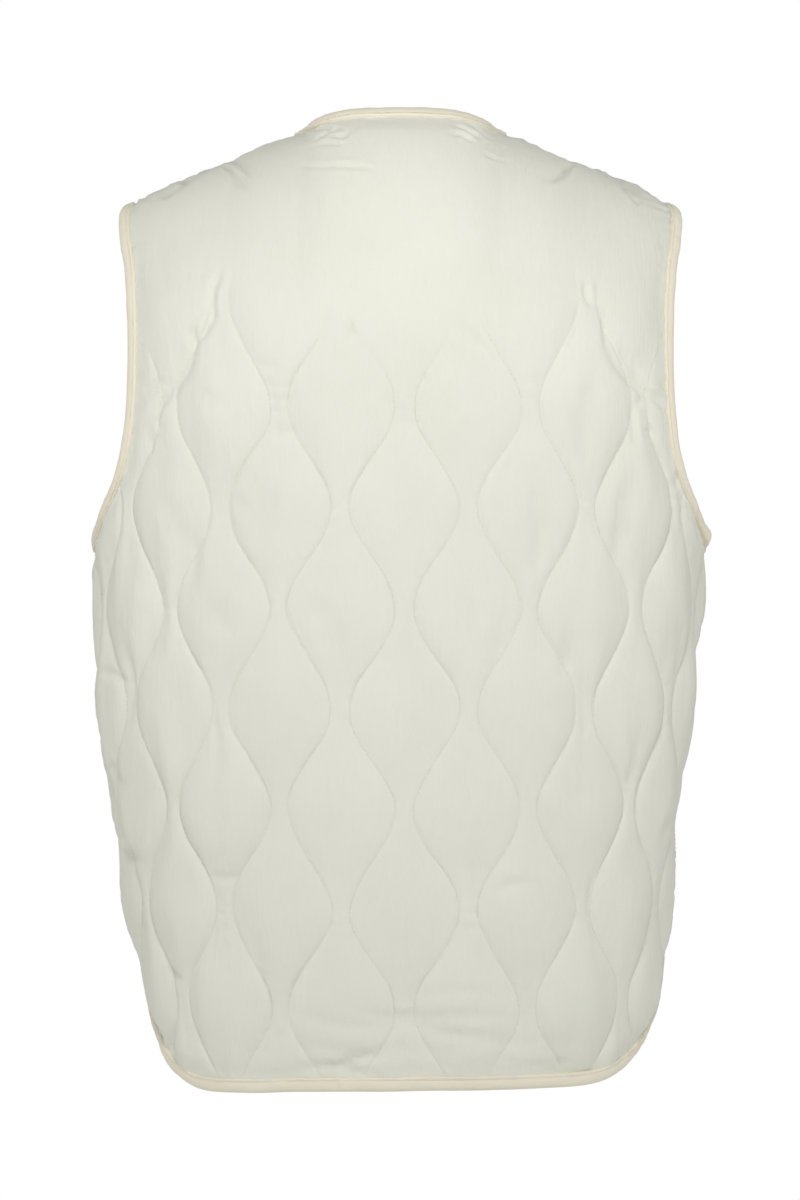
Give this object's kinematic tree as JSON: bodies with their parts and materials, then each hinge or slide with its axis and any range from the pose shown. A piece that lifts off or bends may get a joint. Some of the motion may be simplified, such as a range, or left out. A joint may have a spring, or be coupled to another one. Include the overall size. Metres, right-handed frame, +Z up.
{
  "type": "quilted vest",
  "caption": "Sleeveless quilted vest with a collarless neckline, open front, bound edges, slanted pocket mouths and rounded side vents.",
  "frame": {"origin": "between the wearer's shoulders, at the height of the back neckline, above the shoulder and side seams", "axes": "+Z up, the front of the vest faces -Y, its left side is at +X"},
  "size_m": [0.4525, 0.3055, 0.6973],
  "materials": {
    "quilted_shell": "matte off-white woven shell, padded and quilted",
    "binding": "matte cream bias tape"
  },
  "bodies": {
    "root": {"back_panel": "quilted_shell", "front_panel_left": "quilted_shell", "front_panel_right": "quilted_shell", "neck_binding": "binding", "back_hem_binding": "binding", "front_binding_left": "binding", "front_binding_right": "binding", "armhole_binding_left": "binding", "armhole_binding_right": "binding", "pocket_mouth_left": "binding", "pocket_mouth_right": "binding"}
  },
  "joints": []
}
